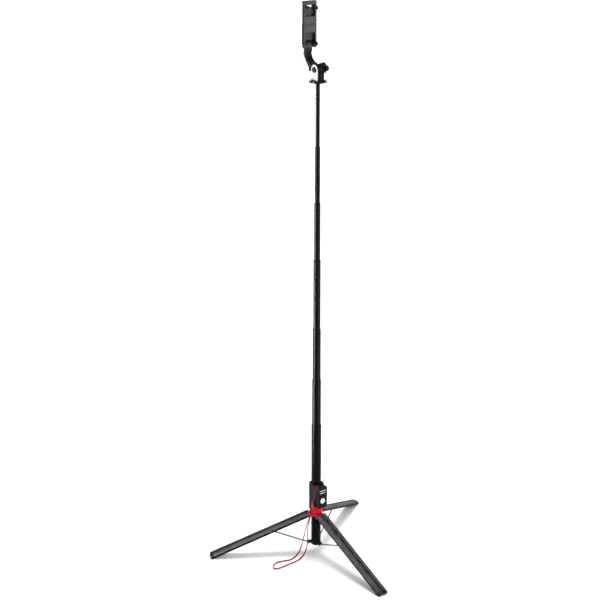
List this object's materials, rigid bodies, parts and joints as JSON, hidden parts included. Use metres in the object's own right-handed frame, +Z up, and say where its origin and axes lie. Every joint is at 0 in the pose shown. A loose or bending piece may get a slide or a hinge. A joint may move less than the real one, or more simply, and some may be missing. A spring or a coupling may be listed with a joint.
{
  "type": "selfie stick",
  "caption": "Telescopic phone stick on a folding three-leg stand, with a spring phone clamp on a tilting head and a slide-off remote on a wrist strap.",
  "frame": {"origin": "on the floor, at the centre of the box round the three feet; the pole stands 48.2 mm behind it", "axes": "+Z up along the pole, -Y the side that the remote and the phone face, +X to the right when seen from the front"},
  "size_m": [0.374, 0.325, 1.089],
  "materials": {
    "tube_black": "gloss black enamel over a thin tube",
    "shell_black": "satin black moulding",
    "leg_grey": "soft dark grey grip strip",
    "dark_plastic": "matt black moulding",
    "face_plastic": "fine-grained dark grey moulding",
    "hub_red": "bright red moulding",
    "silver": "satin silver plate",
    "steel": "bright steel",
    "white": "white moulding",
    "nylon": "natural moulding",
    "board_green": "coated circuit board",
    "strap_red": "woven red strap"
  },
  "bodies": {
    "pole": {"outer_tube": "tube_black", "strut_anchor": "dark_plastic"},
    "hub": {"hub": "hub_red", "housing_rear": "shell_black", "housing_front": "shell_black", "leg_pin_1": "steel", "leg_pin_2": "steel", "leg_pin_3": "steel"},
    "leg_1": {"leg_channel_1": "dark_plastic", "leg_cover_1": "leg_grey", "leg_cap_1": "shell_black", "strut_rivet_1": "steel"},
    "strut_1": {"strut_1": "steel", "strut_pin_1": "steel"},
    "leg_2": {"leg_channel_2": "dark_plastic", "leg_cover_2": "leg_grey", "leg_cap_2": "shell_black", "strut_rivet_2": "steel"},
    "strut_2": {"strut_2": "steel", "strut_pin_2": "steel"},
    "leg_3": {"leg_channel_3": "dark_plastic", "leg_cover_3": "leg_grey", "leg_cap_3": "shell_black", "strut_rivet_3": "steel"},
    "strut_3": {"strut_3": "steel", "strut_pin_3": "steel"},
    "tube_1": {"inner_tube_1": "tube_black", "tube_bush_1": "nylon"},
    "tube_2": {"inner_tube_2": "tube_black", "tube_bush_2": "nylon"},
    "tube_3": {"inner_tube_3": "tube_black", "tube_bush_3": "nylon"},
    "tube_4": {"inner_tube_4": "tube_black", "tube_bush_4": "nylon"},
    "tube_5": {"inner_tube_5": "tube_black", "tube_bush_5": "nylon"},
    "tube_6": {"inner_tube_6": "tube_black", "tube_bush_6": "nylon", "swivel_disc": "shell_black", "swivel_washer": "silver"},
    "head": {"knuckle": "shell_black", "knuckle_plate": "silver", "tilt_bolt": "dark_plastic"},
    "arm": {"arm": "shell_black", "arm_plate": "silver"},
    "knob": {"tilt_knob": "dark_plastic"},
    "clamp": {"neck_collar": "shell_black", "clamp_base": "face_plastic", "clamp_spring": "steel"},
    "clamp_upper": {"clamp_slide": "face_plastic"},
    "upper_jaw": {"upper_jaw": "dark_plastic"},
    "lower_jaw": {"lower_jaw": "dark_plastic"},
    "remote": {"remote_back": "dark_plastic", "remote_front": "shell_black", "remote_board": "board_green", "remote_battery": "steel", "strap_string": "strap_red", "strap_crimp": "strap_red", "strap_ribbon": "strap_red"},
    "button": {"remote_button": "white"}
  },
  "joints": [
    {"name": "hub_slide", "type": "slide", "parent": "pole", "child": "hub", "axis": [0, 0, 1], "range_m": [0, 0.10028]},
    {"name": "leg_fold_1", "type": "hinge", "parent": "hub", "child": "leg_1", "pos_m": [0, 0.03122, 0.08241], "axis": [1, 0, 0], "range_deg": [0, 67.01]},
    {"name": "strut_fold_1", "type": "hinge", "parent": "leg_1", "child": "strut_1", "pos_m": [0, -0.04234, 0.05096], "axis": [1, 0, 0], "range_deg": [-131.89, 0]},
    {"name": "leg_fold_2", "type": "hinge", "parent": "hub", "child": "leg_2", "pos_m": [0.01472, 0.05672, 0.08241], "axis": [-0.5, 0.866, 0], "range_deg": [0, 67.01]},
    {"name": "strut_fold_2", "type": "hinge", "parent": "leg_2", "child": "strut_2", "pos_m": [0.07843, 0.0935, 0.05096], "axis": [-0.5, 0.866, 0], "range_deg": [-131.89, 0]},
    {"name": "leg_fold_3", "type": "hinge", "parent": "hub", "child": "leg_3", "pos_m": [-0.01472, 0.05672, 0.08241], "axis": [-0.5, -0.866, 0], "range_deg": [0, 67.01]},
    {"name": "strut_fold_3", "type": "hinge", "parent": "leg_3", "child": "strut_3", "pos_m": [-0.07843, 0.0935, 0.05096], "axis": [-0.5, -0.866, 0], "range_deg": [-131.89, 0]},
    {"name": "tube_slide_1", "type": "slide", "parent": "pole", "child": "tube_1", "axis": [0, 0, 1], "range_m": [-0.092, 0.125]},
    {"name": "tube_slide_2", "type": "slide", "parent": "tube_1", "child": "tube_2", "axis": [0, 0, 1], "range_m": [-0.101, 0.111]},
    {"name": "tube_slide_3", "type": "slide", "parent": "tube_2", "child": "tube_3", "axis": [0, 0, 1], "range_m": [-0.135, 0.076]},
    {"name": "tube_slide_4", "type": "slide", "parent": "tube_3", "child": "tube_4", "axis": [0, 0, 1], "range_m": [-0.107, 0.103]},
    {"name": "tube_slide_5", "type": "slide", "parent": "tube_4", "child": "tube_5", "axis": [0, 0, 1], "range_m": [-0.102, 0.107]},
    {"name": "tube_slide_6", "type": "slide", "parent": "tube_5", "child": "tube_6", "axis": [0, 0, 1], "range_m": [-0.114, 0.094]},
    {"name": "head_swivel", "type": "hinge", "parent": "tube_6", "child": "head", "pos_m": [0, 0.04822, 0.9523], "axis": [0, 0, 1], "continuous": true},
    {"name": "arm_tilt", "type": "hinge", "parent": "head", "child": "arm", "pos_m": [0, 0.04822, 0.9716], "axis": [1, 0, 0], "range_deg": [0, 165]},
    {"name": "knob_turn", "type": "hinge", "parent": "head", "child": "knob", "pos_m": [0.013, 0.04822, 0.9716], "axis": [1, 0, 0], "continuous": true},
    {"name": "clamp_turn", "type": "hinge", "parent": "arm", "child": "clamp", "pos_m": [0, 0.07842, 0.9983], "axis": [0, 0, 1], "continuous": true},
    {"name": "clamp_open", "type": "slide", "parent": "clamp", "child": "clamp_upper", "axis": [0, 0, 1], "range_m": [0, 0.025], "stiffness_N_per_m": 160, "springref_m": -0.02, "deforming": ["clamp_spring"]},
    {"name": "upper_jaw_fold", "type": "hinge", "parent": "clamp_upper", "child": "upper_jaw", "pos_m": [-0.0017, 0.0704, 1.0796], "axis": [0.9781, -0.2079, 0], "range_deg": [0, 90]},
    {"name": "lower_jaw_fold", "type": "hinge", "parent": "clamp", "child": "lower_jaw", "pos_m": [-0.0017, 0.0704, 1.0164], "axis": [-0.9781, 0.2079, 0], "range_deg": [0, 90]},
    {"name": "remote_slide", "type": "slide", "parent": "hub", "child": "remote", "axis": [0, 0, 1], "range_m": [0, 0.04]},
    {"name": "remote_press", "type": "slide", "parent": "remote", "child": "button", "axis": [0, 1, 0], "range_m": [0, 0.0006], "stiffness_N_per_m": 1500, "springref_m": -0.0004}
  ],
  "couplings": [
    {"joint": "leg_fold_1", "follows": "hub_slide", "rad_per_m": 11.662},
    {"joint": "strut_fold_1", "follows": "hub_slide", "rad_per_m": -22.955},
    {"joint": "leg_fold_2", "follows": "hub_slide", "rad_per_m": 11.662},
    {"joint": "strut_fold_2", "follows": "hub_slide", "rad_per_m": -22.955},
    {"joint": "leg_fold_3", "follows": "hub_slide", "rad_per_m": 11.662},
    {"joint": "strut_fold_3", "follows": "hub_slide", "rad_per_m": -22.955}
  ]
}
